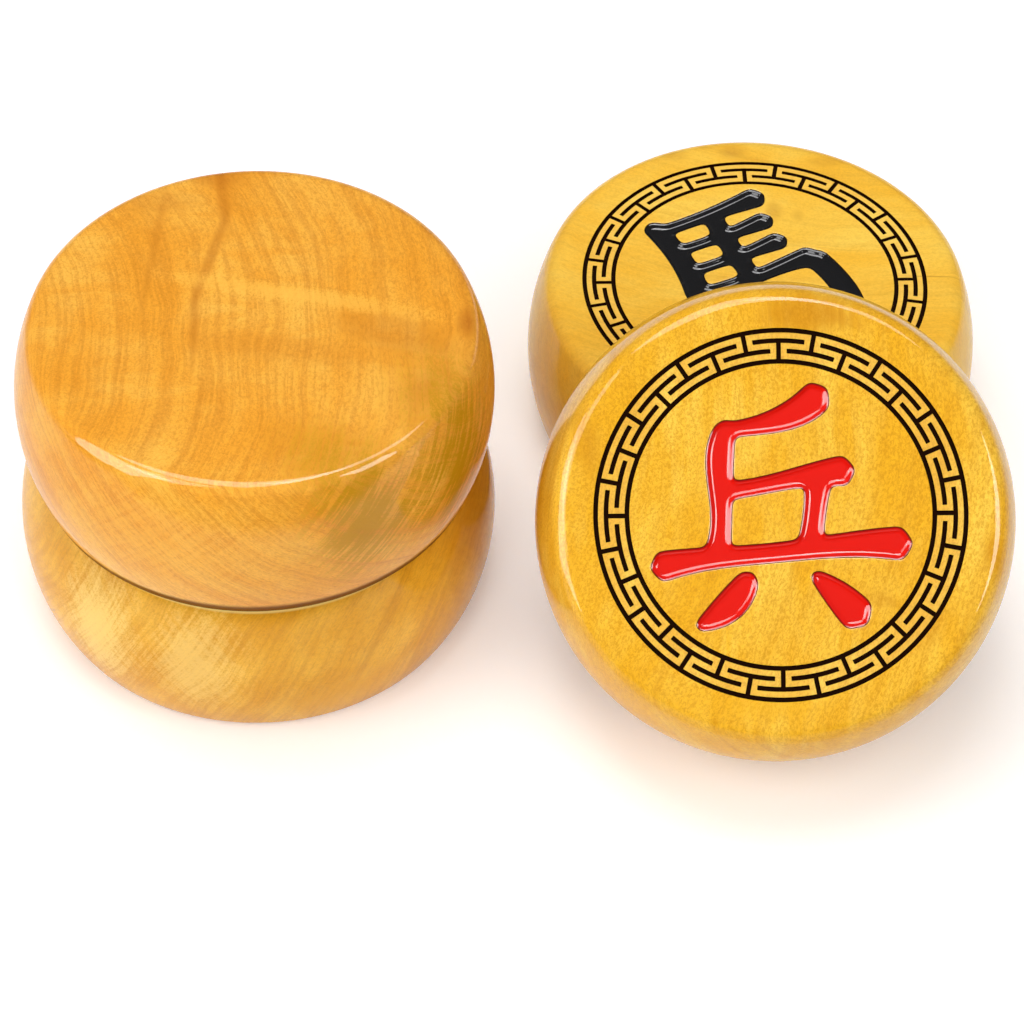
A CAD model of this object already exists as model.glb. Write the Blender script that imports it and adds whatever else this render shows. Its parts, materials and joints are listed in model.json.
"""Four lacquered xiangqi pieces in a white studio: a stack of two, one lying flat and one leaning on it.

The script is laid out as an add-on. One operator turns and carves the wooden drums, one pours the enamel,
and one sets up the floor, the lights and the camera. Lengths in the functions are metres, and each piece is
made about its own centre with its face up, then put in its place. The materials work in millimetres.
"""

import json
from math import asin, cos, pi, radians, sin, sqrt, tau

import bpy
import numpy as np
from bpy.props import FloatProperty, FloatVectorProperty, IntProperty, PointerProperty
from mathutils import Matrix, Vector
from mathutils.geometry import delaunay_2d_cdt


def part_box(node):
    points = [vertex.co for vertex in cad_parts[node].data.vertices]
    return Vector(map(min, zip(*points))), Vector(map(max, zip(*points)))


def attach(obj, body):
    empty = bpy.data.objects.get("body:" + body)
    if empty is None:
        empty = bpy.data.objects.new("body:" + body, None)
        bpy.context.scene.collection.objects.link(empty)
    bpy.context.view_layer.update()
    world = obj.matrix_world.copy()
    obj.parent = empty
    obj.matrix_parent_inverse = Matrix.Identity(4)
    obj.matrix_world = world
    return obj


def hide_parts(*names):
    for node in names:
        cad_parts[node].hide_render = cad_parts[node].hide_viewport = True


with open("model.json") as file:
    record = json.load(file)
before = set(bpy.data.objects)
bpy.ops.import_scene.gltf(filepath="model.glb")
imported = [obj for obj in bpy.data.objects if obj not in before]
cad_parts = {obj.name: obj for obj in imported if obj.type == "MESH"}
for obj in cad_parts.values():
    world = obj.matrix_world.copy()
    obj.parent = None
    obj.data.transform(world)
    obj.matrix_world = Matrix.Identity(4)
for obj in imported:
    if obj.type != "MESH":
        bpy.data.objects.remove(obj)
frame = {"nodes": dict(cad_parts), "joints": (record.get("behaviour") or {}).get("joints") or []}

bl_info = {
    "name": "Xiangqi Pieces",
    "version": (1, 0, 0),
    "blender": (4, 5, 0),
    "location": "View3D > Sidebar > Xiangqi",
    "description": "Turns, carves and lacquers four xiangqi pieces and lights them in a studio",
    "category": "Object",
}

MM = 0.001

# How each face is turned about its own axis, in degrees, and which enamel fills its mark.
PIECES = {
    "bottom_piece": {"turn": 8.0, "enamel": "red_enamel"},
    "top_piece": {"turn": 0.0, "enamel": "black_enamel"},
    "back_piece": {"turn": 25.0, "enamel": "black_enamel"},
    "leaning_piece": {"turn": 1.7, "enamel": "red_enamel"},
}
# The meander repeats this often round a face, and its lines lie on this many levels.
FRET_REPEATS = 16
FRET_LEVELS = 4

# Bends sharper than this stay sharp. A drum's skin starts as a ring this small in the middle of its back,
# and a recess has this many rows over its rounded edge.
BEND_ANGLE = radians(35)
FIRST_RING = 0.01 * MM
EDGE_ROWS = 4

# Points of the frame's solids that lie this close are one, and its flat faces are true to this height.
WELD = 0.001 * MM
FLATNESS = 0.05 * MM
# A loop has at least this many points, and distances are taken for about this many points at once.
SHORTEST_LOOP = 16
DISTANCES_AT_ONCE = 500
# A flat field is cut into triangles over its whole hull, and points this close, in millimetres, are one.
WHOLE_HULL = 0
ONE_POINT = 1e-7

# The rays that see the floor's glow. It lights nothing.
SEEN_RAYS = ("Is Camera Ray", "Is Glossy Ray", "Is Transmission Ray")

# The grain's layers, each a noise: its scale across the rings, along them and up the drum, its detail,
# roughness and distortion, and the span over which the layer comes in.
GRAIN = {
    "cloud": ((0.10, 0.04, 0.08), 4.0, 0.6, 0.0, (0.30, 0.70)),
    "line": ((0.50, 0.010, 0.03), 4.0, 0.7, 0.0, (0.54, 0.74)),
    "fine": ((1.5, 0.03, 0.06), 4.0, 0.7, 0.0, (0.44, 0.60)),
    "pore": ((3.4, 1.2, 2.4), 2.0, 0.6, 0.0, (0.50, 0.64)),
    "fleck": ((3.4, 2.8, 3.4), 3.0, 0.8, 0.4, (0.44, 0.60)),
}
# The growth rings wander by a noise: how fine it is, and how far it moves them.
WANDER_SCALE = 0.05
WANDER = 5.0
# How many millimetres of grain one radian makes, round the heart and round the drum's side. The side's rays
# are drawn out up the drum, and come in over a span of their noise and from where the side begins.
RING_SWEEP = 70.0
RAY_SWEEP = 30.0
RAY_HEIGHT = 0.15
RAY_SPAN = (0.44, 0.60)
SIDE_START = (27.0, 28.5)
# The span of its noise over which the silky figure comes in.
FIGURE_SPAN = (0.42, 0.62)

# How far grain and flecks fray a mark's edge inwards, how far the whole mark is let out to make up for it,
# and the span over which it fades, all as shares of its reach.
FRAY = 0.3
LET_OUT = 0.35
MARK_EDGE = (0.2, 1.2)

# The wood between the burnt lines turns to this colour, by this much, with an edge this soft.
RING_WOOD = (1.0, 0.78, 0.28)
RING_PALENESS = 0.14
SOFT_EDGE = 0.1

# A worn rim is measured outwards and then down, with this share of the depth below the face. It ends within
# this span of depths.
WEAR_SHARE = 0.89
WEAR_END = (5.0, 4.0)

# Grooves are burnt from the first to the second depth below the face, unevenly. Nothing below the end's
# depths is burnt, and nothing farther out than this spread.
BURN_SCALE = 0.5
BURN_UNEVENNESS = 0.06
BURN_START = (0.015, 0.07)
BURN_END = (1.6, 1.5)
BURN_SPREAD = 0.5

# The four woods. Colours are linear. The heart is where the growth rings are centred, in millimetres from the
# piece's own axis, and slope is how far they shift per millimetre of height. Line, fine, pore and fleck are
# the strengths of the grain's layers. A figure is a silky wave: its scale along each axis and its strength.
# Rays are the slant of the fine rays on the side, and how far they fray a mark. A worn rim is a ring about an
# axis: where it rises, where it falls, its colour and its strength. A mark is a stain or a sheen: its middle,
# its turn in degrees, its reach along each axis, its colour and its strength.
WOODS = {
    "bottom_piece": {
        "dark": (0.80, 0.36, 0.014),
        "streak": (0.46, 0.16, 0.006),
        "silk": (1.0, 0.70, 0.20),
        "heart": (-90.0, 10.0),
        "slope": -0.5,
        "line": 0.26,
        "fine": 0.22,
        "pore": 0.18,
        "fleck": 0.20,
        "figure": ((0.12, 0.12, 0.05), 0.50),
        "rays": (0.8, 0.2),
        "worn": {
            "axis": (0.1, -2.6),
            "rises": (26.0, 26.5),
            "falls": (27.3, 27.7),
            "shade": (1.0, 0.78, 0.28),
            "strength": 0.75,
        },
        "marks": [
            ((-21.0, -20.0, 2.0), 42, (11.0, 6.0, 10.0), "silk", 0.75),
            ((-10.0, -28.0, 2.0), 20, (7.0, 5.0, 9.0), "silk", 0.55),
            ((8.0, -29.0, -6.0), 0, (8.0, 5.0, 5.0), "dark", 0.60),
            ((26.0, -14.0, 2.0), 0, (6.0, 8.0, 12.0), "streak", 0.30),
        ],
    },
    "top_piece": {
        "dark": (0.88, 0.37, 0.030),
        "streak": (0.46, 0.12, 0.006),
        "olive": (0.50, 0.24, 0.004),
        "heart": (-60.0, 6.0),
        "slope": -1.1,
        "line": 0.28,
        "fine": 0.22,
        "pore": 0.20,
        "fleck": 0.24,
        "figure": ((0.05, 0.20, 0.10), 0.55),
        "rays": (-1.0, 0.55),
        "worn": {
            "axis": (0.0, 0.0),
            "rises": (25.0, 25.5),
            "falls": (30.2, 31.6),
            "shade": (0.13, 0.035, 0.004),
            "strength": 0.9,
        },
        "marks": [
            ((-5.0, -22.5, -12.0), -7, (0.8, 7.0, 3.0), "streak", 0.40),
            ((-5.8, -11.1, -12.0), 11, (0.7, 9.6, 3.0), "streak", 0.42),
            ((-7.1, 0.0, -12.0), -2, (0.6, 8.0, 3.0), "streak", 0.38),
            ((-13.0, -12.0, -12.0), 4, (0.6, 12.0, 3.0), "streak", 0.25),
            ((-5.7, -25.6, -12.0), 0, (3.5, 2.0, 4.0), "streak", 0.35),
            ((-13.0, -21.0, -12.0), 0, (5.0, 2.2, 4.0), "streak", 0.22),
            ((18.0, 1.5, -12.0), 20, (8.0, 3.2, 4.0), "streak", 0.30),
            ((22.4, 10.0, -12.0), 30, (3.0, 5.0, 4.0), "streak", 0.26),
            ((5.0, 4.5, -12.0), 8, (11.0, 2.4, 4.0), "streak", 0.16),
            ((26.4, -0.8, -12.0), 0, (1.2, 2.6, 3.0), "streak", 0.60),
            ((5.0, -5.0, -12.0), 10, (17.0, 1.6, 4.0), "light", 0.55),
            ((-8.0, 26.5, -2.0), 0, (20.0, 8.0, 9.0), "light", 0.3),
            ((15.0, 25.0, -4.0), 30, (14.0, 7.0, 10.0), "olive", 0.85),
            ((26.0, 15.0, -3.0), 60, (13.0, 8.0, 11.0), "olive", 0.95),
        ],
    },
    "back_piece": {
        "dark": (0.96, 0.52, 0.042),
        "streak": (0.50, 0.20, 0.020),
        "heart": (50.0, 70.0),
        "slope": 0.6,
        "line": 0.16,
        "fine": 0.10,
        "pore": 0.10,
        "fleck": 0.14,
        "figure": ((0.06, 0.16, 0.10), 0.40),
        "rays": (0.3, 0.3),
        "worn": None,
        "marks": [
            ((8.2, 10.9, 12.0), -25, (1.2, 1.8, 4.0), "streak", 0.35),
            ((10.9, 8.8, 12.0), -25, (0.8, 1.2, 4.0), "streak", 0.20),
            ((0.5, 26.2, 12.0), -25, (2.0, 1.2, 4.0), "streak", 0.25),
            ((8.3, 23.5, 12.0), -25, (2.0, 1.4, 4.0), "streak", 0.35),
            ((19.0, 16.7, 12.0), -25, (2.4, 1.0, 4.0), "streak", 0.25),
            ((22.1, -8.7, 12.0), -25, (5.0, 0.14, 6.0), "streak", 0.50),
        ],
    },
    "leaning_piece": {
        "dark": (0.88, 0.45, 0.018),
        "streak": (0.56, 0.21, 0.006),
        "heart": (-90.0, 20.0),
        "slope": 0.8,
        "line": 0.34,
        "fine": 0.14,
        "pore": 0.16,
        "fleck": 0.46,
        "figure": ((0.24, 0.05, 0.10), 0.75),
        "rays": (0.3, 0.3),
        "worn": None,
        "marks": [
            ((3.5, 24.8, 12.0), 0, (6.0, 2.6, 4.0), "streak", 0.62),
            ((8.5, 23.8, 12.0), -20, (3.0, 1.0, 4.0), "streak", 0.30),
            ((-23.6, 9.0, 12.0), 10, (1.6, 4.5, 4.0), "streak", 0.35),
            ((26.0, -5.3, 12.0), 0, (1.6, 3.2, 4.0), "streak", 0.40),
            ((17.5, -14.3, 12.0), 40, (4.5, 2.0, 4.0), "streak", 0.25),
            ((12.2, -10.6, 12.0), -15, (3.0, 1.0, 4.0), "streak", 0.30),
            ((-2.0, -23.0, 12.0), 0, (8.0, 2.2, 4.0), "dark", 0.50),
        ],
    },
}

# The softboxes stand round this point: direction from it, distance, width and height in metres, the
# brightness of their light, and the brightness at which the lacquer and the enamel mirror them.
AIM = Vector((0.033, 0.0, 0.02))
SOFTBOXES = {
    "left_softbox": ((-0.80, -0.37, 0.42), 0.62, (0.33, 0.68), 2.3, 8.5),
    "right_softbox": ((0.66, -0.42, 0.62), 0.80, (0.27, 0.33), 2.1, 13.0),
    "top_softbox": ((-0.10, 0.10, 0.98), 1.20, (0.60, 0.75), 4.9, 8.0),
    "corner_softbox": ((-0.45, -0.36, 0.82), 1.00, (0.36, 0.50), 0.0, 6.0),
    "over_softbox": ((0.26, 0.12, 0.96), 1.20, (0.34, 0.66), 0.0, 8.0),
    "front_fill": ((0.10, -0.60, 0.80), 1.20, (1.20, 0.90), 2.0, 0.0),
}
# What is mirrored stands a little in front of what lights.
MIRROR_LEAD = 0.01
# Low black cards, which only the lacquer mirrors: two ends on the floor, and the height.
CARDS = {
    "front_card": ((-0.16, -0.100), (0.26, -0.100), 0.045),
    "left_card": ((-0.155, 0.12), (-0.155, -0.100), 0.028),
}
BLACK_CARD = (0.01, 0.01, 0.01)
# The floor reaches this far to each side. Its glow begins to rise and is full at the span's distances from
# the middle, and has the first strength before it and the second after.
FLOOR_REACH = 8.0
FLOOR_CARD = (0.90, 0.895, 0.885)
FLOOR_GLOW = (0.95, 0.90, 0.92)
GLOW_SPAN = (0.30, 1.00)
GLOW = (0.24, 1.00)


class XiangqiTurning(bpy.types.PropertyGroup):
    """Sizes of the turned drum that the frame's boxes don't give."""

    flat_radius: FloatProperty(
        name="Flat radius", description="Where the side would meet the flat faces",
        default=27.5 * MM, unit="LENGTH",
    )
    front_rounding: FloatProperty(
        name="Front rounding", description="Radius of the rim round the marked face",
        default=2.4 * MM, unit="LENGTH",
    )
    back_rounding: FloatProperty(
        name="Back rounding", description="Radius of the rim round the plain face",
        default=2.0 * MM, unit="LENGTH",
    )
    rim_steps: IntProperty(name="Rim steps", description="Rows of faces round each rim", default=10)
    side_steps: IntProperty(name="Side steps", description="Rows of faces down the side", default=24)


class XiangqiFret(bpy.types.PropertyGroup):
    """The burnt meander: four levels of line, one pitch apart, joined into two combs of T shapes."""

    outer_line: FloatProperty(
        name="Outer line", description="Radius of the outermost line",
        default=22.65 * MM, unit="LENGTH",
    )
    pitch: FloatProperty(
        name="Pitch", description="Distance from one level to the next",
        default=1.28 * MM, unit="LENGTH",
    )
    line_width: FloatProperty(
        name="Line width", description="Width of the burnt groove",
        default=0.6 * MM, unit="LENGTH",
    )
    depth: FloatProperty(
        name="Depth", description="How deep the groove is",
        default=0.4 * MM, unit="LENGTH",
    )
    wall: FloatProperty(
        name="Wall", description="How far the groove's wall runs inwards",
        default=0.1 * MM, unit="LENGTH",
    )


class XiangqiEnamel(bpy.types.PropertyGroup):
    """The hard enamel that fills the carved mark and climbs its walls."""

    wall_drop: FloatProperty(
        name="Drop at the wall", description="How far below the face it meets the wall",
        default=0.14 * MM, unit="LENGTH",
    )
    middle_drop: FloatProperty(
        name="Drop in the middle", description="How far below the face it settles",
        default=0.58 * MM, unit="LENGTH",
    )
    climb: FloatProperty(
        name="Climb", description="Distance from the wall in which it settles",
        default=0.46 * MM, unit="LENGTH",
    )
    recess_rounding: FloatProperty(
        name="Recess rounding", description="Rounding of the wood round the recess",
        default=0.18 * MM, unit="LENGTH",
    )
    softness: FloatProperty(
        name="Softness", description="How far the carver's corners are rounded",
        default=0.60 * MM, unit="LENGTH",
    )
    grid: FloatProperty(
        name="Grid", description="Distance between the surface's points",
        default=0.15 * MM, unit="LENGTH",
    )
    thin_edge: FloatProperty(
        name="Thin edge", description="Depth in which its colour fills out below the wall's drop",
        default=0.12 * MM, unit="LENGTH",
    )


class XiangqiLacquer(bpy.types.PropertyGroup):
    """The clear coat on the wood, and the gloss of the enamel."""

    coat: FloatProperty(
        name="Coat", description="How strongly the clear coat on sound wood mirrors",
        default=0.65, subtype="FACTOR",
    )
    lost_coat: FloatProperty(
        name="Lost coat", description="How much of that burnt or worn wood loses",
        default=0.5, subtype="FACTOR",
    )
    coat_roughness: FloatProperty(
        name="Coat roughness", description="How much the clear coat blurs what it mirrors",
        default=0.04, subtype="FACTOR",
    )
    relief: FloatProperty(
        name="Relief", description="Height of the flecks that show under the coat",
        default=0.06 * MM, unit="LENGTH",
    )
    enamel_roughness: FloatProperty(
        name="Enamel roughness", description="How much the enamel blurs what it mirrors",
        default=0.07, subtype="FACTOR",
    )


class XiangqiColours(bpy.types.PropertyGroup):
    """Linear colours: each piece's lightest wood, the burnt lines, and each enamel where thick and thin."""

    bottom_piece: FloatVectorProperty(
        name="Bottom piece", description="The lower stacked piece's lightest wood",
        default=(1.0, 0.56, 0.060), subtype="COLOR",
    )
    top_piece: FloatVectorProperty(
        name="Top piece", description="The upper stacked piece's lightest wood",
        default=(1.0, 0.53, 0.080), subtype="COLOR",
    )
    back_piece: FloatVectorProperty(
        name="Back piece", description="The lying piece's lightest wood",
        default=(1.0, 0.65, 0.095), subtype="COLOR",
    )
    leaning_piece: FloatVectorProperty(
        name="Leaning piece", description="The leaning piece's lightest wood",
        default=(1.0, 0.64, 0.080), subtype="COLOR",
    )
    burnt_wood: FloatVectorProperty(
        name="Burnt wood", description="The floor of the meander's grooves",
        default=(0.014, 0.004, 0.001), subtype="COLOR",
    )
    red_enamel: FloatVectorProperty(
        name="Red enamel", description="The soldier's enamel where it is thick",
        default=(0.74, 0.007, 0.002), subtype="COLOR",
    )
    red_enamel_edge: FloatVectorProperty(
        name="Red enamel's edge", description="The soldier's enamel where it climbs the wall",
        default=(0.30, 0.004, 0.002), subtype="COLOR",
    )
    black_enamel: FloatVectorProperty(
        name="Black enamel", description="The horse's enamel where it is thick",
        default=(0.006, 0.006, 0.007), subtype="COLOR",
    )
    black_enamel_edge: FloatVectorProperty(
        name="Black enamel's edge", description="The horse's enamel where it climbs the wall",
        default=(0.004, 0.003, 0.003), subtype="COLOR",
    )


class XiangqiStudio(bpy.types.PropertyGroup):
    """The camera and the lights."""

    lens: FloatProperty(name="Lens", description="Focal length", default=140.5, unit="CAMERA")
    position: FloatVectorProperty(
        name="Camera", description="Where the camera stands",
        default=(0.0329, -0.3461, 0.4002), subtype="XYZ", unit="LENGTH",
    )
    pitch: FloatProperty(
        name="Pitch", description="How far the camera looks down",
        default=radians(48.36), subtype="ANGLE",
    )
    roll: FloatProperty(
        name="Roll", description="How far the camera is rolled",
        default=0.02, subtype="ANGLE",
    )
    ambient: FloatProperty(name="Ambient", description="Brightness of the room", default=0.18)


# ----------------------------------------------------------
# Places


def wood_node(piece):
    """The name of a piece's wooden node."""
    return f"{piece}_wood"


def mark_nodes(piece):
    """The names of the nodes that hold a piece's enamel."""
    names = sorted(name for name in frame["nodes"] if name.startswith(f"{piece}_mark"))
    if not names:
        raise RuntimeError(f"{piece} has no enamel in the frame")
    return names


def drum_sizes(piece):
    """A drum's radius and half its thickness. The leaning one is turned to the lying one's sizes."""
    low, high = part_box(wood_node("back_piece" if piece == "leaning_piece" else piece))
    return min(high[0] - low[0], high[1] - low[1]) / 2, (high[2] - low[2]) / 2


def lean_angle():
    """The leaning piece's tilt: the arcsine of the share of its lifting axis that points to -Y."""
    axis = next(joint["axis"] for joint in frame["joints"] if joint["name"] == "leaning_piece_lift")
    return asin(-axis[1])


def piece_place(piece):
    """The matrix that takes a piece from its own centre, face up, to its place in the frame."""
    low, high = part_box(wood_node(piece))
    turn = Matrix.Rotation(radians(PIECES[piece]["turn"]), 4, "Z")
    if piece == "top_piece":
        stand = Matrix.Rotation(pi, 4, "X")
    elif piece == "leaning_piece":
        stand = Matrix.Rotation(lean_angle(), 4, "X")
    else:
        stand = Matrix.Identity(4)
    return Matrix.Translation((Vector(low) + Vector(high)) / 2) @ stand @ turn


def own_points(piece, node):
    """The points of one of the frame's solids, about the piece's own centre."""
    mesh = frame["nodes"][node].data
    points = np.empty(len(mesh.vertices) * 3)
    mesh.vertices.foreach_get("co", points)
    to_own = np.array(piece_place(piece).inverted())
    return points.reshape(-1, 3) @ to_own[:3, :3].T + to_own[:3, 3]


def place_mesh(name, points, faces, piece):
    """A mesh object with these points about the piece's own centre, moved to the piece's place."""
    place = np.array(piece_place(piece))
    points = points @ place[:3, :3].T + place[:3, 3]
    mesh = bpy.data.meshes.new(name)
    mesh.from_pydata(points.tolist(), [], faces)
    mesh.update()
    mesh.set_sharp_from_angle(angle=BEND_ANGLE)
    made = bpy.data.objects.new(name, mesh)
    bpy.context.scene.collection.objects.link(made)
    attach(made, piece)
    return made


# ----------------------------------------------------------
# The drum


def drum_profile(radius, half_thickness, turning):
    """Radius and height of the drum's outline, from the back's flat face round to the front's.

    The side is the arc through both flat edges and the widest point: its radius is half the sum of the half
    thickness squared over the bulge, and the bulge. Each rim is a smaller arc that touches the side and the
    face.
    """
    bulge = radius - turning.flat_radius
    side_arc = (half_thickness**2 / bulge + bulge) / 2
    side_centre = radius - side_arc
    slopes = []
    rims = []
    for rounding in (turning.back_rounding, turning.front_rounding):
        rim_height = half_thickness - rounding
        slope = asin(rim_height / (side_arc - rounding))
        rim_centre = side_centre + (side_arc - rounding) * cos(slope)
        turns = np.linspace(pi / 2, slope, turning.rim_steps + 1)
        rim = [rim_centre + rounding * np.cos(turns), rim_height + rounding * np.sin(turns)]
        rims.append(np.stack(rim, 1))
        slopes.append(slope)
    turns = np.linspace(-slopes[0], slopes[1], turning.side_steps + 1)[1:-1]
    side = np.stack([side_centre + side_arc * np.cos(turns), side_arc * np.sin(turns)], 1)
    return np.concatenate([rims[0] * (1, -1), side, rims[1][::-1]])


def fret_levels(fret):
    """Radii of the middles of the meander's lines, from the inside out."""
    return [fret.outer_line - (FRET_LEVELS - 1 - level) * fret.pitch for level in range(FRET_LEVELS)]


def fret_rows(fret):
    """Radii of the grid's rows across the meander, from the outside in: each line's edges and walls."""
    half = fret.line_width / 2
    rows = []
    for middle in reversed(fret_levels(fret)):
        rows += [middle + half, middle + half - fret.wall, middle - half + fret.wall, middle - half]
    return np.array(rows)


def lane_angle(fret, level):
    """The angle from the middle of a stem to the end of the next bar at this level, one lane away."""
    return (fret.pitch - fret.line_width / 2) / fret_levels(fret)[level]


def fret_columns(fret, radii):
    """Angles of the grid's columns at each radius: one row per radius, over the whole turn.

    Columns run along every edge of the meander. Those beside a stem keep their distance from its middle line,
    so their angle is the arcsine of that distance over the radius.
    """
    half = fret.line_width / 2
    half_period = pi / FRET_REPEATS
    wall_angle = fret.wall / fret.outer_line
    first_end = lane_angle(fret, 1)
    second_end = half_period - lane_angle(fret, 2)
    bars = [first_end, first_end + wall_angle, half_period / 2, second_end - wall_angle, second_end]
    radii = np.asarray(radii)[:, None]
    stem = np.concatenate([np.arcsin((half - fret.wall) / radii), np.arcsin(half / radii)], 1)
    right = np.concatenate([stem, np.tile(bars, (len(radii), 1)), half_period - stem[:, ::-1]], 1)
    period = np.concatenate([right, 2 * half_period - right[:, ::-1]], 1)
    starts = np.arange(FRET_REPEATS) * 2 * half_period
    return (period[:, None, :] + starts[None, :, None]).reshape(len(radii), -1)


def fret_depth(fret, radii, angles):
    """Depth of the burnt groove: its full depth times how far a point lies inside the meander, over the wall.

    The distance inside is the greatest over two rings, sixteen stems and sixteen bars for each comb, each of
    them a box in radius and in distance along the turn.
    """
    half = fret.line_width / 2
    levels = fret_levels(fret)
    period = tau / FRET_REPEATS
    inside = half - np.minimum(abs(radii - levels[0]), abs(radii - levels[3]))
    combs = ((0.0, levels[0], levels[2], 2), (period / 2, levels[1], levels[3], 1))
    for phase, low, high, bar_level in combs:
        offset = abs((angles - phase + period / 2) % period - period / 2)
        stem = np.minimum(half - radii * np.sin(offset), np.minimum(radii - low, high - radii))
        bar_end = period / 2 - lane_angle(fret, bar_level)
        bar = np.minimum(half - abs(radii - levels[bar_level]), (bar_end - offset) * radii)
        inside = np.maximum(inside, np.maximum(stem, bar))
    return fret.depth * np.clip(inside / fret.wall, 0, 1)


def grid_quads(rows, columns, start=0):
    """Quads of a grid whose columns close on themselves, with faces on the side that they turn about."""
    row, column = np.meshgrid(np.arange(rows - 1), np.arange(columns), indexing="ij")
    beside = (column + 1) % columns
    corners = [
        row * columns + column,
        (row + 1) * columns + column,
        (row + 1) * columns + beside,
        row * columns + beside,
    ]
    return np.stack(corners, -1).reshape(-1, 4) + start


def recess_floor(piece):
    """How high the floor of a piece's recesses lies, about the piece's own centre."""
    return own_points(piece, mark_nodes(piece)[0])[:, 2].min()


def turned_shell(piece, turning, fret):
    """The drum's skin from the middle of the back round to the meander's inner edge: points, faces, columns.

    It is a grid of the outline's points by the meander's angles, lowered by the depth of the grooves.
    """
    radius, half_thickness = drum_sizes(piece)
    rows = fret_rows(fret)
    back = [[FIRST_RING, -half_thickness]]
    front = np.column_stack([rows, np.full(len(rows), half_thickness)])
    outline = np.concatenate([back, drum_profile(radius, half_thickness, turning), front])
    angles = fret_columns(fret, np.clip(outline[:, 0], rows[-1], rows[0]))
    columns = angles.shape[1]
    radii = np.repeat(outline[:, :1], columns, axis=1)
    heights = np.repeat(outline[:, 1:], columns, axis=1)
    heights[-len(rows):] -= fret_depth(fret, radii[-len(rows):], angles[-len(rows):])
    points = np.stack([radii * np.cos(angles), radii * np.sin(angles), heights], -1).reshape(-1, 3)
    faces = grid_quads(len(outline), columns)[:, ::-1].tolist()
    faces.append(list(reversed(range(columns))))
    return points, faces, columns


def recess_levels(loop, face, floor, rounding):
    """A recess round one loop: a quarter circle over the edge, then the wall down to the floor."""
    levels = []
    for turn in np.linspace(0, pi / 2, EDGE_ROWS):
        level = offset_loop(loop, rounding * (1 - sin(turn)))
        levels.append(with_height(level, face - rounding * (1 - cos(turn))))
    return [*levels, with_height(loop, floor)]


def make_wood(piece, turning, fret, enamel):
    """One drum: its turned shell, the recess of its mark, and the flat field cut out round the recess."""
    _, half_thickness = drum_sizes(piece)
    floor = recess_floor(piece)
    shell, faces, columns = turned_shell(piece, turning, fret)
    points = [shell]
    count = len(shell)
    field_loops = [shell[-columns:, :2]]
    field_index = [np.arange(count - columns, count)]
    for node in mark_nodes(piece):
        loops = mark_loops(piece, node, enamel)
        floor_index = []
        for loop in loops:
            levels = recess_levels(loop, half_thickness, floor, enamel.recess_rounding)
            faces += grid_quads(len(levels), len(loop), count).tolist()
            points += levels
            field_loops.append(levels[0][:, :2])
            field_index.append(np.arange(count, count + len(loop)))
            count += len(levels) * len(loop)
            floor_index.append(np.arange(count - len(loop), count))
        _, triangles = triangulate(loops)
        faces += np.concatenate(floor_index)[triangles].tolist()
    _, triangles = triangulate(field_loops)
    faces += np.concatenate(field_index)[triangles].tolist()
    return place_mesh(f"{piece}_turned", np.concatenate(points), faces, piece)


# ----------------------------------------------------------
# The enamel


def mark_loops(piece, node, enamel):
    """The outline of one pool of enamel: closed loops of points about the piece's own centre.

    They are the border of the faces that look up on the frame's own solid. Walking along a loop, the enamel
    is on the left.
    """
    points = own_points(piece, node)
    top = points[:, 2].max()
    keys, merged = np.unique(np.round(points / WELD).astype(int), axis=0, return_inverse=True)
    merged = merged.ravel()
    places = keys * WELD
    edges = set()
    for polygon in frame["nodes"][node].data.polygons:
        corners = [merged[i] for i in polygon.vertices]
        if all(abs(places[i][2] - top) < FLATNESS for i in corners):
            edges.update(zip(corners, corners[1:] + corners[:1]))
    following = {tail: head for tail, head in edges if (head, tail) not in edges}
    if not following:
        raise RuntimeError(f"{node} has no face that looks up")
    loops = []
    while following:
        start, here = following.popitem()
        loop = [start]
        while here != start:
            loop.append(here)
            here = following.pop(here)
        loops.append(smooth_loop(places[loop][:, :2], enamel.softness, enamel.grid))
    return loops


def smooth_loop(loop, softness, step):
    """A loop with rounded corners: points at even steps, each the mean of its neighbours along the loop.

    The mean is weighted by a bell curve as wide as softness, and is taken as a product of Fourier series.
    """
    closed = np.concatenate([loop, loop[:1]])
    travel = np.concatenate([[0], np.cumsum(np.linalg.norm(np.diff(closed, axis=0), axis=1))])
    count = max(SHORTEST_LOOP, round(travel[-1] / step))
    even = np.linspace(0, travel[-1], count, endpoint=False)
    steps = np.interp(even, travel, closed[:, 0]) + 1j * np.interp(even, travel, closed[:, 1])
    bell = np.exp(-2 * (pi * np.fft.fftfreq(count, travel[-1] / count) * softness) ** 2)
    smooth = np.fft.ifft(np.fft.fft(steps) * bell)
    return np.column_stack([smooth.real, smooth.imag])


def offset_loop(loop, distance):
    """A loop moved to its right by a distance, with its corners mitred up to twice that distance."""
    ahead = np.roll(loop, -1, axis=0) - loop
    ahead /= np.linalg.norm(ahead, axis=1)[:, None]
    right = np.stack([ahead[:, 1], -ahead[:, 0]], 1)
    mitre = right + np.roll(right, 1, axis=0)
    mitre /= np.maximum((mitre**2).sum(1), 1.0)[:, None] / 2
    return loop + mitre * distance


def with_height(loop, height):
    """A flat loop's points at one height."""
    return np.column_stack([loop, np.full(len(loop), height)])


def loop_edges(loops):
    """The two ends of each edge of the loops, as places in the list of all their points."""
    ends = []
    start = 0
    for loop in loops:
        here = np.arange(start, start + len(loop))
        ends.append(np.stack([here, np.roll(here, -1)], 1))
        start += len(loop)
    return np.concatenate(ends)


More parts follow.
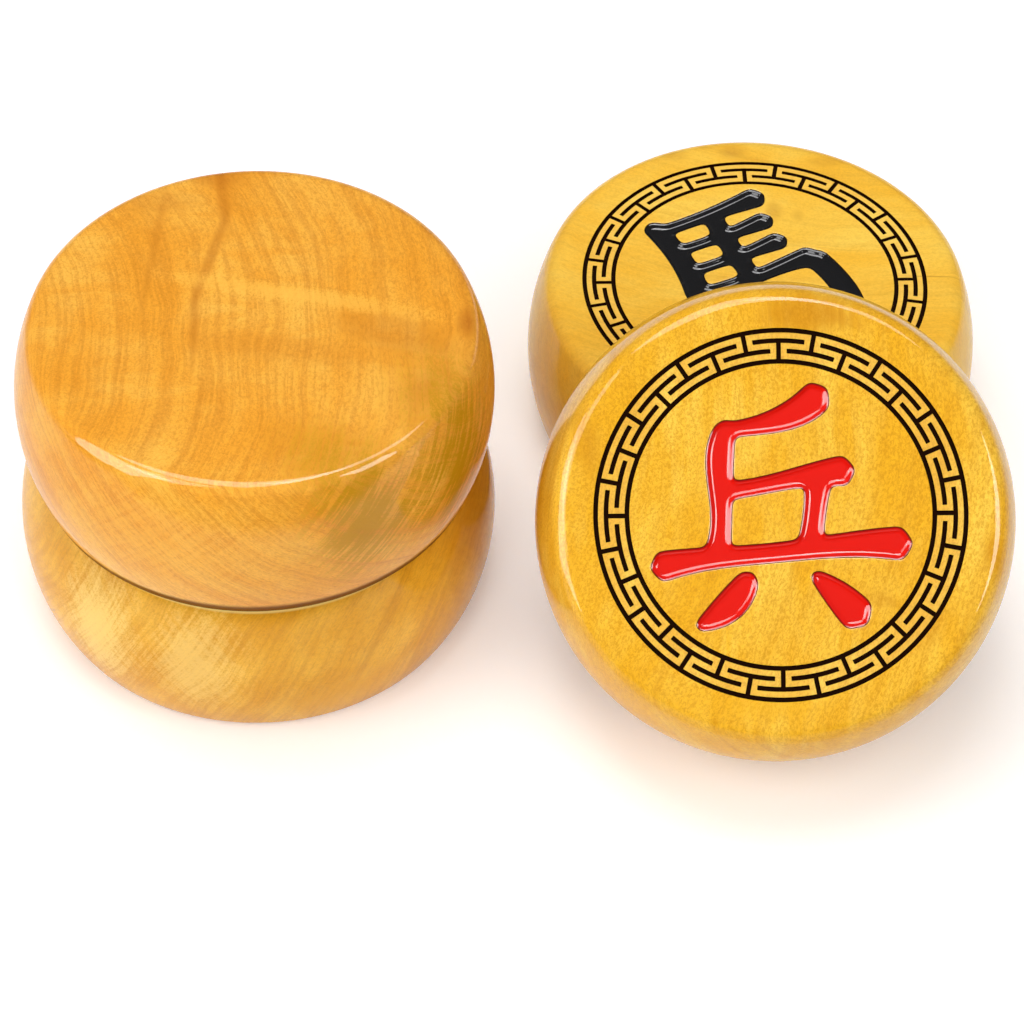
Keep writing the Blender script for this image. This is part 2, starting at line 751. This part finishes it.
def inside_loops(points, loops):
    """Whether each point lies inside the loops, by counting the edges that a line to its right crosses."""
    tails = np.concatenate(loops)
    heads = np.concatenate([np.roll(loop, -1, axis=0) for loop in loops])
    x, y = points[:, :1], points[:, 1:]
    spans = (tails[:, 1] > y) != (heads[:, 1] > y)
    rise = np.where(heads[:, 1] == tails[:, 1], 1.0, heads[:, 1] - tails[:, 1])
    crossing = tails[:, 0] + (y - tails[:, 1]) / rise * (heads[:, 0] - tails[:, 0])
    return (spans & (x < crossing)).sum(1) % 2 == 1


def distance_to_loops(points, loops):
    """Each point's distance to the nearest edge of the loops."""
    tails = np.concatenate(loops)
    along = np.concatenate([np.roll(loop, -1, axis=0) for loop in loops]) - tails
    lengths = (along**2).sum(1)
    nearest = np.empty(len(points))
    for part in np.array_split(np.arange(len(points)), max(1, len(points) // DISTANCES_AT_ONCE)):
        from_tail = points[part, None] - tails
        share = np.clip((from_tail * along).sum(2) / lengths, 0, 1)
        nearest[part] = np.sqrt(((from_tail - share[..., None] * along) ** 2).sum(2).min(1))
    return nearest


def triangulate(loops, extra=()):
    """The points, the loops' first and in order, and the triangles whose middles lie inside the loops."""
    points = np.concatenate([*loops, extra]) if len(extra) else np.concatenate(loops)
    in_millimetres = [Vector(point) for point in points / MM]
    edges = loop_edges(loops).tolist()
    _, _, triangles, origins, _, _ = delaunay_2d_cdt(in_millimetres, edges, [], WHOLE_HULL, ONE_POINT)
    original = [min(origin) for origin in origins]
    triangles = np.array([[original[i] for i in triangle] for triangle in triangles])
    kept = inside_loops(points[triangles].mean(1), loops)
    return points, triangles[kept]


def make_pool(piece, node, enamel):
    """One pool of enamel: a closed body whose top sinks from the wall to the middle.

    The drop below the face is the middle's, less what is left of the climb: a share that falls off as the
    exponential of minus the square of the distance from the wall over the climb.
    """
    _, half_thickness = drum_sizes(piece)
    loops = mark_loops(piece, node, enamel)
    inner = grid_inside(loops, enamel.grid)
    flat, triangles = triangulate(loops, inner)
    border = sum(len(loop) for loop in loops)
    away = np.concatenate([np.zeros(border), distance_to_loops(flat[border:], loops)])
    left = np.exp(-((away / enamel.climb) ** 2))
    drop = enamel.middle_drop + (enamel.wall_drop - enamel.middle_drop) * left
    top = np.column_stack([flat, half_thickness - drop])
    bottom = with_height(flat, recess_floor(piece))
    count = len(flat)
    here, beside = loop_edges(loops).T
    faces = triangles.tolist() + (triangles[:, ::-1] + count).tolist()
    faces += np.stack([here, here + count, beside + count, beside], 1).tolist()
    return place_mesh(f"{node}_poured", np.concatenate([top, bottom]), faces, piece)


def grid_inside(loops, step):
    """Points of a grid of even triangles that lie inside the loops and clear of their edges."""
    low = np.concatenate(loops).min(0)
    high = np.concatenate(loops).max(0)
    xs = np.arange(low[0], high[0], step)
    ys = np.arange(low[1], high[1], step * sqrt(3) / 2)
    x, y = np.meshgrid(xs, ys)
    x = x + step / 2 * (np.arange(len(ys)) % 2)[:, None]
    points = np.stack([x.ravel(), y.ravel()], 1)
    points = points[inside_loops(points, loops)]
    return points[distance_to_loops(points, loops) > step / 3]


# ----------------------------------------------------------
# Materials


class Value:
    """One output of a shader node, with arithmetic that adds Math nodes."""

    def __init__(self, graph, socket):
        self.graph = graph
        self.socket = socket

    def math(self, operation, *others):
        """A Math node's result, with this value as its first input."""
        inputs = dict(enumerate((self, *others)))
        return self.graph.node("ShaderNodeMath", {"operation": operation}, inputs)

    def __add__(self, other):
        return self.math("ADD", other)

    def __sub__(self, other):
        return self.math("SUBTRACT", other)

    def __mul__(self, other):
        return self.math("MULTIPLY", other)

    def __rsub__(self, other):
        return self * -1.0 + other

    __radd__ = __add__
    __rmul__ = __mul__

    def between(self, low, high, to_low=0.0, to_high=1.0):
        """This value taken from one range smoothly to another and held at its ends."""
        span = {"Value": self, "From Min": low, "From Max": high, "To Min": to_low, "To Max": to_high}
        return self.graph.node("ShaderNodeMapRange", {"interpolation_type": "SMOOTHSTEP"}, span)


class Graph:
    """A new material's node tree."""

    def __init__(self, name):
        self.material = bpy.data.materials.new(name)
        self.material.use_nodes = True
        self.tree = self.material.node_tree
        self.tree.nodes.clear()

    def node(self, kind, settings=(), inputs=(), output=0):
        """Any node: its settings are set first, then its inputs by name or number. Gives an output."""
        made = self.tree.nodes.new(kind)
        for name, value in dict(settings).items():
            setattr(made, name, value)
        for name, value in dict(inputs).items():
            if isinstance(value, Value):
                self.tree.links.new(value.socket, made.inputs[name])
            else:
                made.inputs[name].default_value = value
        return Value(self, made.outputs[output]) if made.outputs else None

    def mapped(self, vector, middle, rotation, scale):
        """A vector seen from a middle, a rotation and a scale."""
        inputs = {"Vector": vector, "Location": middle, "Rotation": rotation, "Scale": scale}
        return self.node("ShaderNodeMapping", {"vector_type": "TEXTURE"}, inputs)

    def scaled(self, vector, scale):
        """A vector scaled along each axis."""
        return self.node("ShaderNodeVectorMath", {"operation": "MULTIPLY"}, {0: vector, 1: scale})

    def joined(self, *numbers):
        """A vector of two or three numbers."""
        return self.node("ShaderNodeCombineXYZ", {}, dict(enumerate(numbers)))

    def split(self, vector):
        """The three numbers of a vector."""
        x = self.node("ShaderNodeSeparateXYZ", {}, {0: vector})
        outputs = x.socket.node.outputs
        return [Value(self, outputs[i]) for i in range(3)]

    def noise(self, vector, detail, roughness, distortion=0.0):
        """Noise from 0 to 1 with a feature about every unit."""
        inputs = {"Vector": vector, "Scale": 1.0, "Detail": detail, "Roughness": roughness}
        return self.node("ShaderNodeTexNoise", {}, inputs | {"Distortion": distortion})

    def layer(self, vector, scale, detail, roughness, distortion, span):
        """One layer of grain, from 0 to 1."""
        return self.noise(self.scaled(vector, scale), detail, roughness, distortion).between(*span)

    def mix(self, factor, first, second):
        """Two colours mixed."""
        inputs = {0: factor, 6: self.colour(first), 7: self.colour(second)}
        return self.node("ShaderNodeMix", {"data_type": "RGBA"}, inputs, output=2)

    @staticmethod
    def colour(value):
        """A colour as a socket takes it."""
        return value if isinstance(value, Value) else (*value, 1.0)

    def surface(self, shader):
        """The finished material, with this shader on its surface."""
        self.node("ShaderNodeOutputMaterial", {}, {"Surface": shader})
        return self.material

    def principled(self, colour, **inputs):
        """The finished material, with a Principled shader of this colour."""
        inputs = {"Base Color": self.colour(colour), **inputs}
        return self.surface(self.node("ShaderNodeBsdfPrincipled", {}, inputs))


class PieceGraph(Graph):
    """A material on one piece, with places in millimetres about the piece's own centre, face up."""

    def __init__(self, name, piece):
        super().__init__(name)
        place = piece_place(piece)
        position = self.node("ShaderNodeTexCoord", output="Object")
        self.own = self.mapped(position, place.to_translation(), place.to_euler(), (MM, MM, MM))
        self.x, self.y, self.height = self.split(self.own)
        self.face = drum_sizes(piece)[1] / MM
        self.off_axis = self.distance_from(0.0, 0.0)

    def distance_from(self, axis_x, axis_y):
        """Distance from an upright axis."""
        x, y = self.x - axis_x, self.y - axis_y
        return (x * x + y * y).math("SQRT")


def grain_layers(graph, look):
    """The layers of the grain, on coordinates that follow the growth rings round the heart."""
    heart_x, heart_y = look["heart"]
    wander = graph.noise(graph.scaled(graph.own, [WANDER_SCALE] * 3), detail=2.0, roughness=0.5)
    ring = graph.distance_from(heart_x, heart_y) + graph.height * look["slope"] + wander * WANDER
    sweep = (graph.y - heart_y).math("ARCTAN2", graph.x - heart_x) * RING_SWEEP
    grain = graph.joined(ring, sweep, graph.height)
    return {name: graph.layer(grain, *how) for name, how in GRAIN.items()}


def side_rays(graph, look):
    """Fine slanting rays on the drum's side."""
    round_side = graph.y.math("ARCTAN2", graph.x) * RAY_SWEEP + graph.height * look["rays"][0]
    rays = graph.noise(graph.joined(round_side, graph.height * RAY_HEIGHT), detail=3.0, roughness=0.6)
    return rays.between(*RAY_SPAN) * graph.off_axis.between(*SIDE_START)


def plain_wood(graph, look, layers):
    """The wood's colour before it is marked: clouds, silky figure, then the grain's darker layers."""
    scale, strength = look["figure"]
    figure = graph.layer(graph.own, scale, detail=3.0, roughness=0.6, distortion=0.5, span=FIGURE_SPAN)
    colour = graph.mix(layers["cloud"], look["light"], look["dark"])
    colour = graph.mix(figure * strength, colour, look["dark"])
    for name in ("line", "fine", "pore", "fleck"):
        colour = graph.mix(layers[name] * look[name], colour, look["streak"])
    return colour


def marked(graph, look, layers, colour):
    """The wood with its stains and sheens, each an ellipsoid with an edge frayed by the grain.

    A mark fades with the distance from its middle, as a share of its reach, plus the fray, less the let-out.
    """
    fray = (layers["fine"] + layers["fleck"]) * FRAY + side_rays(graph, look) * look["rays"][1]
    for middle, turn, reach, shade, strength in look["marks"]:
        place = graph.mapped(graph.own, middle, (0, 0, radians(turn)), reach)
        away = graph.node("ShaderNodeVectorMath", {"operation": "LENGTH"}, {0: place}, "Value")
        ragged = away + fray - LET_OUT
        colour = graph.mix(ragged.between(*MARK_EDGE, strength, 0.0), colour, look[shade])
    return colour


def pale_ring(graph, fret, colour):
    """The wood with the paler ring that is left between the burnt lines."""
    outer = (fret.outer_line + fret.line_width / 2) / MM
    inner = (fret_levels(fret)[0] - fret.line_width / 2) / MM
    band = graph.off_axis.between(inner, inner + SOFT_EDGE)
    band = band * graph.off_axis.between(outer - SOFT_EDGE, outer, 1.0, 0.0)
    band = band * graph.height.between(graph.face - SOFT_EDGE, graph.face)
    return graph.mix(band * RING_PALENESS, colour, RING_WOOD)


def wear(graph, worn):
    """How far the rim that touches in the stack is worn or dark, from 0 to its strength.

    It rises and falls with the distance from its axis plus a share of the depth below the face.
    """
    reached = graph.distance_from(*worn["axis"]) + (graph.face - graph.height) * WEAR_SHARE
    edge = reached.between(*worn["rises"]) * reached.between(*worn["falls"], worn["strength"], 0.0)
    return edge * graph.height.between(graph.face - WEAR_END[0], graph.face - WEAR_END[1])


def burn(graph, fret):
    """How far the wood is burnt, from 0 to 1: a little below the face, unevenly, inside the ring's edge."""
    outer = (fret.outer_line + fret.line_width / 2) / MM
    char = graph.noise(graph.scaled(graph.own, [BURN_SCALE] * 3), detail=3.0, roughness=0.6)
    uneven = graph.face - graph.height + (char - 0.5) * BURN_UNEVENNESS
    burnt = uneven.between(*BURN_START)
    burnt = burnt * graph.height.between(graph.face - BURN_END[0], graph.face - BURN_END[1])
    return burnt * graph.off_axis.between(outer, outer + BURN_SPREAD, 1.0, 0.0)


def wood_material(piece, fret, lacquer, colours):
    """Lacquered wood: grain, stains, a pale ring, burnt grooves, and a clear coat that worn wood loses.

    The coat's weight is that of sound wood, less the lost coat times the greater of worn and burnt.
    """
    look = {"light": tuple(getattr(colours, piece)), **WOODS[piece]}
    graph = PieceGraph(f"{piece}_lacquered_wood", piece)
    layers = grain_layers(graph, look)
    colour = plain_wood(graph, look, layers)
    colour = marked(graph, look, layers, colour)
    colour = pale_ring(graph, fret, colour)
    burnt = burn(graph, fret)
    dull = burnt
    if look["worn"]:
        worn = wear(graph, look["worn"])
        colour = graph.mix(worn, colour, look["worn"]["shade"])
        dull = worn.math("MAXIMUM", burnt)
    colour = graph.mix(burnt, colour, tuple(colours.burnt_wood))
    flecks = {"Strength": 0.7, "Distance": lacquer.relief, "Height": layers["fleck"] * look["fleck"]}
    finish = {
        "Roughness": 0.6,
        "Normal": graph.node("ShaderNodeBump", {}, flecks),
        "Specular IOR Level": 0.0,
        "Coat Weight": lacquer.coat - dull * lacquer.lost_coat,
        "Coat Roughness": lacquer.coat_roughness,
        "Coat IOR": 1.45,
    }
    return graph.principled(colour, **finish)


def enamel_material(piece, enamel, lacquer, colours):
    """Hard glossy enamel, darker where it thins out on the walls of its recess."""
    kind = PIECES[piece]["enamel"]
    graph = PieceGraph(f"{piece}_{kind}", piece)
    start = enamel.wall_drop / MM
    thick = (graph.face - graph.height).between(start, start + enamel.thin_edge / MM)
    edge, middle = (tuple(getattr(colours, name)) for name in (f"{kind}_edge", kind))
    finish = {
        "Roughness": 0.5,
        "Specular IOR Level": 0.0,
        "Coat Weight": 1.0,
        "Coat Roughness": lacquer.enamel_roughness,
    }
    return graph.principled(graph.mix(thick, edge, middle), **finish)


def floor_material():
    """White card with a glow that only the picture and mirror images show, rising far from the pieces."""
    graph = Graph("white_card")
    card = graph.node("ShaderNodeBsdfDiffuse", {}, {"Color": graph.colour(FLOOR_CARD)})
    rays = [graph.node("ShaderNodeLightPath", output=name) for name in SEEN_RAYS]
    seen = rays[0].math("MAXIMUM", rays[1]).math("MAXIMUM", rays[2])
    x, y, _ = graph.split(graph.node("ShaderNodeTexCoord", output="Object"))
    far_off = (x * x + y * y).math("SQRT").between(*GLOW_SPAN)
    unlit, near, far = (
        graph.node("ShaderNodeEmission", {}, {"Color": graph.colour(FLOOR_GLOW), "Strength": strength})
        for strength in (0.0, *GLOW)
    )
    glow = graph.node("ShaderNodeMixShader", {}, {0: far_off, 1: near, 2: far})
    glow = graph.node("ShaderNodeMixShader", {}, {0: seen, 1: unlit, 2: glow})
    return graph.surface(graph.node("ShaderNodeAddShader", {}, {0: card, 1: glow}))


def card_material(height):
    """Matt black that is clear at the floor and solid from half its height."""
    graph = Graph("black_card")
    _, _, up = graph.split(graph.node("ShaderNodeTexCoord", output="Object"))
    clear = graph.node("ShaderNodeBsdfTransparent")
    black = graph.node("ShaderNodeBsdfDiffuse", {}, {"Color": graph.colour(BLACK_CARD)})
    inputs = {0: up.between(0.0, height / 2), 1: clear, 2: black}
    return graph.surface(graph.node("ShaderNodeMixShader", {}, inputs))


# ----------------------------------------------------------
# Studio


def make_camera(studio):
    """The camera: it looks along +Y and down by its pitch, rolled about its own line of sight."""
    ahead = Vector((0, cos(studio.pitch), -sin(studio.pitch)))
    right = Vector((1, 0, 0))
    up = Vector((0, sin(studio.pitch), cos(studio.pitch)))
    across = right * cos(studio.roll) + up * sin(studio.roll)
    upward = up * cos(studio.roll) - right * sin(studio.roll)
    turn = Matrix((across, upward, -ahead)).transposed().to_4x4()
    camera = bpy.data.objects.new("camera", bpy.data.cameras.new("camera"))
    camera.data.lens = studio.lens
    camera.data.sensor_width = 36
    camera.data.clip_end = 20
    camera.matrix_world = Matrix.Translation(studio.position) @ turn
    bpy.context.scene.collection.objects.link(camera)
    return camera


def make_floor():
    """The floor, wide enough that low views don't see its end."""
    mesh = bpy.data.meshes.new("floor")
    corners = [(x * FLOOR_REACH, y * FLOOR_REACH, 0) for x, y in ((-1, -1), (1, -1), (1, 1), (-1, 1))]
    mesh.from_pydata(corners, [], [(0, 1, 2, 3)])
    mesh.materials.append(floor_material())
    floor = bpy.data.objects.new("floor", mesh)
    bpy.context.scene.collection.objects.link(floor)


def make_world(ambient):
    """A room that is evenly bright."""
    world = bpy.data.worlds.new("world")
    world.use_nodes = True
    background = world.node_tree.nodes["Background"]
    background.inputs["Color"].default_value = (1, 1, 1, 1)
    background.inputs["Strength"].default_value = ambient
    return world


def make_softbox(name, direction, distance, size, brightness, hidden_from):
    """A softbox that faces the pieces, with one kind of ray that doesn't see it.

    Its power is its brightness times pi times its area.
    """
    light = bpy.data.lights.new(name, "AREA")
    light.shape = "RECTANGLE"
    light.size, light.size_y = size
    light.energy = brightness * pi * size[0] * size[1]
    box = bpy.data.objects.new(name, light)
    toward = Vector(direction).normalized()
    turn = toward.to_track_quat("Z", "Y").to_matrix().to_4x4()
    box.matrix_world = Matrix.Translation(AIM + toward * distance) @ turn
    setattr(box, hidden_from, False)
    bpy.context.scene.collection.objects.link(box)


def make_card(name, start, end, height):
    """An upright card that only mirrors see, thinning out towards the floor."""
    mesh = bpy.data.meshes.new(name)
    corners = [(*start, 0), (*end, 0), (*end, height), (*start, height)]
    mesh.from_pydata(corners, [], [(0, 1, 2, 3)])
    mesh.materials.append(card_material(height))
    card = bpy.data.objects.new(name, mesh)
    card.visible_camera = False
    card.visible_diffuse = False
    card.visible_shadow = False
    bpy.context.scene.collection.objects.link(card)


# ----------------------------------------------------------
# The add-on


class XIANGQI_OT_wood(bpy.types.Operator):
    """Turn and carve the four wooden drums"""

    bl_idname = "xiangqi.wood"
    bl_label = "Turn the drums"

    def execute(self, context):
        scene = context.scene
        fret = scene.xiangqi_fret
        for piece in PIECES:
            made = make_wood(piece, scene.xiangqi_turning, fret, scene.xiangqi_enamel)
            material = wood_material(piece, fret, scene.xiangqi_lacquer, scene.xiangqi_colours)
            made.data.materials.append(material)
            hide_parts(wood_node(piece))
        return {"FINISHED"}


class XIANGQI_OT_enamel(bpy.types.Operator):
    """Pour the enamel into the carved marks"""

    bl_idname = "xiangqi.enamel"
    bl_label = "Pour the enamel"

    def execute(self, context):
        scene = context.scene
        enamel = scene.xiangqi_enamel
        for piece, look in PIECES.items():
            material = enamel_material(piece, enamel, scene.xiangqi_lacquer, scene.xiangqi_colours)
            for node in mark_nodes(piece):
                made = make_pool(piece, node, enamel)
                made.data.materials.append(material)
                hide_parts(node)
        return {"FINISHED"}


class XIANGQI_OT_studio(bpy.types.Operator):
    """Set up the floor, the lights and the camera"""

    bl_idname = "xiangqi.studio"
    bl_label = "Set up the studio"

    def execute(self, context):
        scene = context.scene
        scene.camera = make_camera(scene.xiangqi_studio)
        make_floor()
        scene.world = make_world(scene.xiangqi_studio.ambient)
        for name, (direction, distance, size, light, mirrored) in SOFTBOXES.items():
            if light:
                make_softbox(f"{name}_light", direction, distance, size, light, "visible_glossy")
            if mirrored:
                lead = distance - MIRROR_LEAD
                make_softbox(f"{name}_mirrored", direction, lead, size, mirrored, "visible_diffuse")
        for name, (start, end, height) in CARDS.items():
            make_card(name, start, end, height)
        scene.view_settings.view_transform = "Standard"
        return {"FINISHED"}


class XIANGQI_PT_panel(bpy.types.Panel):
    """The steps in order, and under them the settings."""

    bl_label = "Xiangqi"
    bl_idname = "XIANGQI_PT_panel"
    bl_space_type = "VIEW_3D"
    bl_region_type = "UI"
    bl_category = "Xiangqi"

    def draw(self, context):
        for operator in OPERATORS:
            self.layout.operator(operator.bl_idname)
        for name, group in GROUPS.items():
            box = self.layout.box()
            for setting in group.__annotations__:
                box.prop(getattr(context.scene, name), setting)


GROUPS = {
    "xiangqi_turning": XiangqiTurning,
    "xiangqi_fret": XiangqiFret,
    "xiangqi_enamel": XiangqiEnamel,
    "xiangqi_lacquer": XiangqiLacquer,
    "xiangqi_colours": XiangqiColours,
    "xiangqi_studio": XiangqiStudio,
}
OPERATORS = (XIANGQI_OT_wood, XIANGQI_OT_enamel, XIANGQI_OT_studio)


def register():
    """Registers the classes and hangs the settings on the scene."""
    for cls in (*GROUPS.values(), *OPERATORS, XIANGQI_PT_panel):
        bpy.utils.register_class(cls)
    for name, group in GROUPS.items():
        setattr(bpy.types.Scene, name, PointerProperty(type=group))


def unregister():
    """Takes the settings and the classes away again."""
    for name in GROUPS:
        delattr(bpy.types.Scene, name)
    for cls in reversed((*GROUPS.values(), *OPERATORS, XIANGQI_PT_panel)):
        bpy.utils.unregister_class(cls)


def main():
    """Builds everything."""
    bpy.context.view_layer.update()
    register()
    bpy.ops.xiangqi.wood()
    bpy.ops.xiangqi.enamel()
    bpy.ops.xiangqi.studio()


if __name__ == "__main__":
    main()
